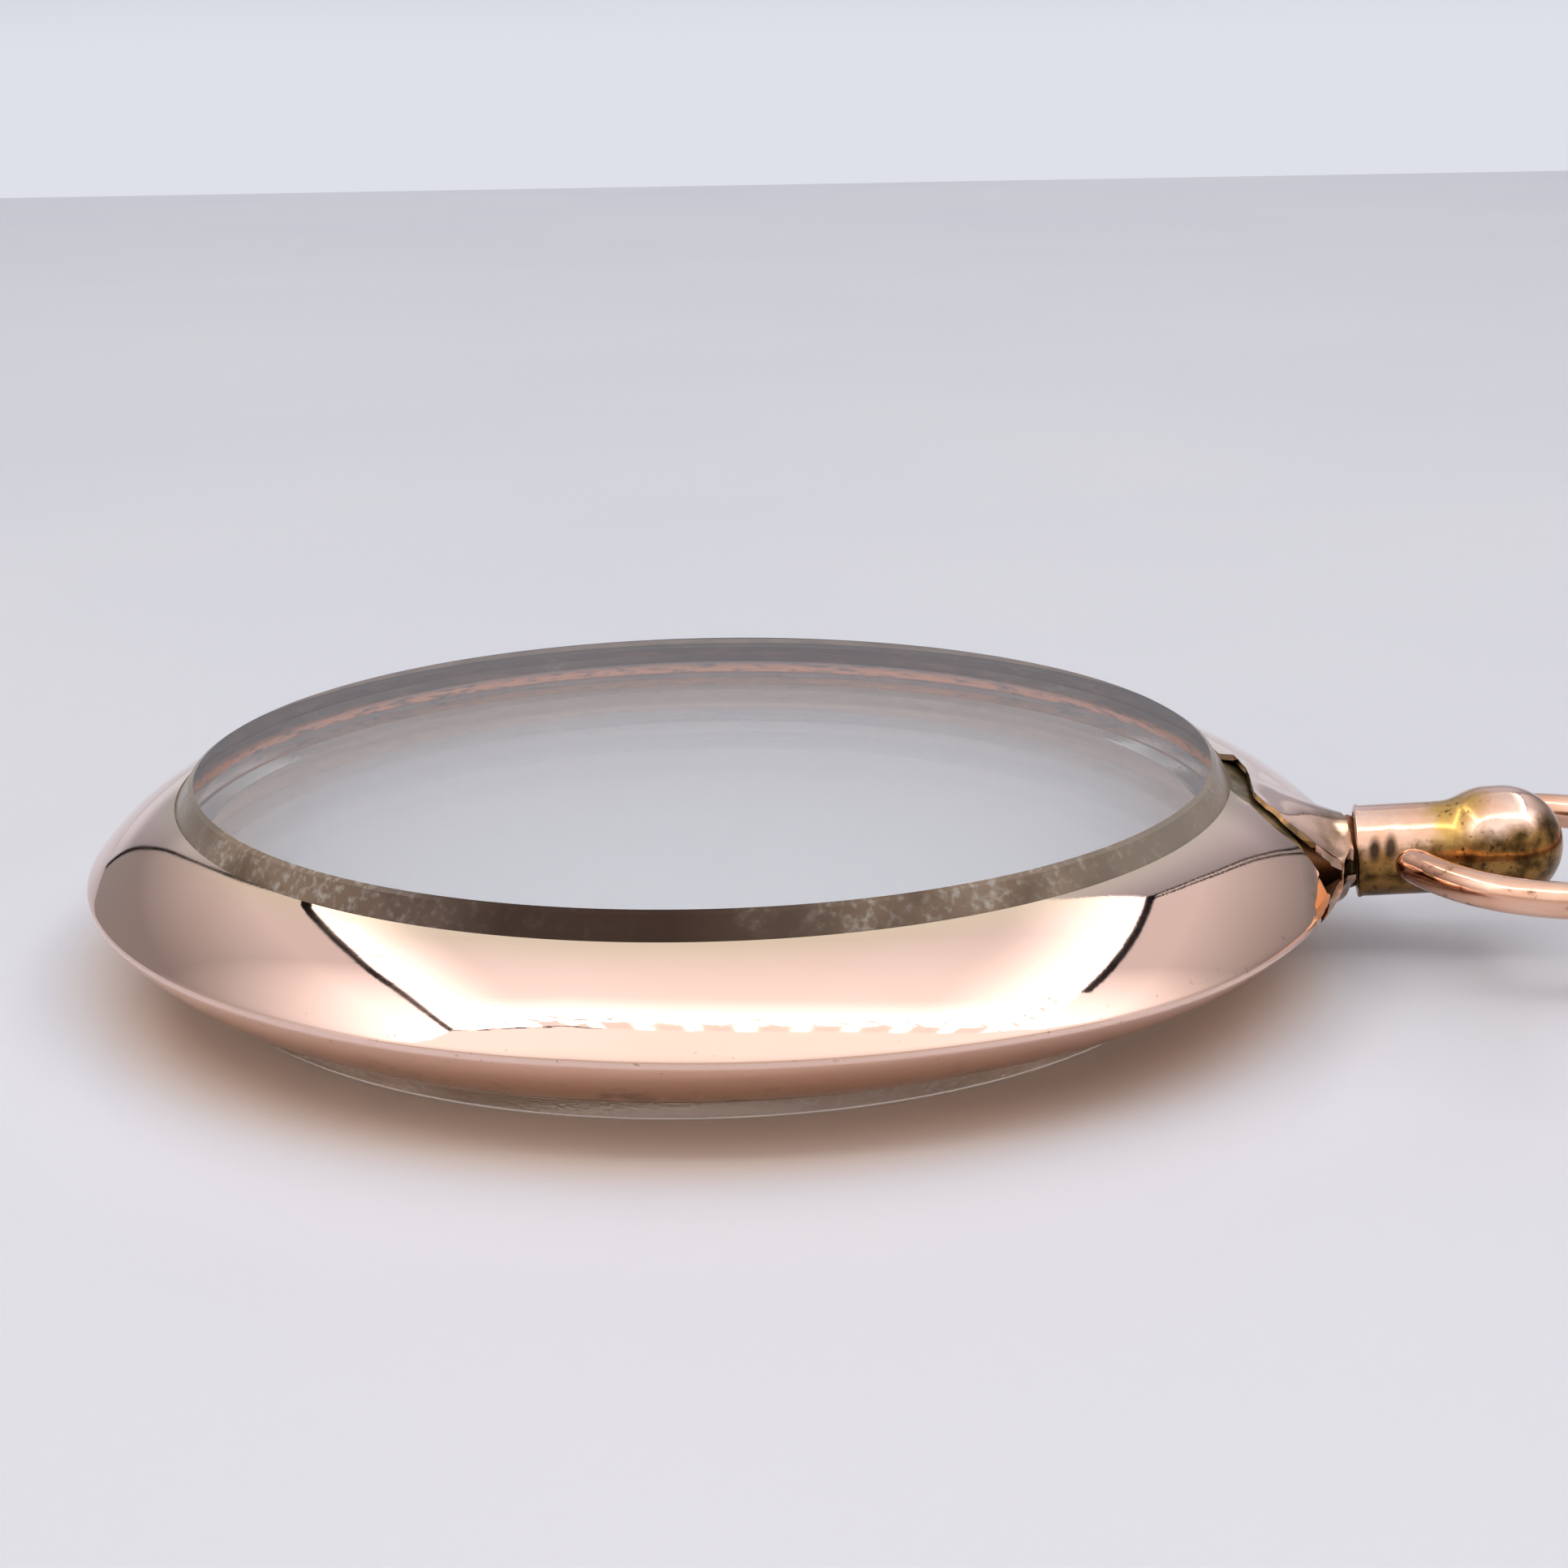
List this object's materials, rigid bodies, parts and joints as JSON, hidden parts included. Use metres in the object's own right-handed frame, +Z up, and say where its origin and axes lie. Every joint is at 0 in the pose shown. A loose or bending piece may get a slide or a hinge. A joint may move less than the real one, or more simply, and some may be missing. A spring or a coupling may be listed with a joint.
{
  "type": "glass locket",
  "caption": "Round double-sided locket: split gold ring frame holding two bevelled glass discs, with a ball-ended screw cap and a wire bow.",
  "frame": {"origin": "centre of the lower glass's outer face, which the locket lies on", "axes": "+Z up through both glasses, +X along the neck towards the bow, +Y across"},
  "size_m": [0.0446, 0.0338, 0.0051],
  "materials": {
    "frame_gold": "polished rose gold, lightly worn",
    "cap_gold": "worn rose gold, tarnished yellow-brown in the hollows",
    "bow_gold": "polished rose gold wire",
    "locket_glass": "clear polished glass with a worn bevel"
  },
  "bodies": {
    "locket": {"frame": "frame_gold", "upper_glass": "locket_glass", "lower_glass": "locket_glass"},
    "cap": {"screw_cap": "cap_gold"},
    "bow": {"bow": "bow_gold"}
  },
  "joints": [
    {"name": "cap_unscrew", "type": "slide", "parent": "locket", "child": "cap", "axis": [0.9962, 0, 0.0872], "range_m": [0, 0.001]},
    {"name": "bow_swing", "type": "hinge", "parent": "cap", "child": "bow", "pos_m": [0.01922, 0, 0.00281], "axis": [0, 1, 0], "range_deg": [-145, 140]}
  ]
}
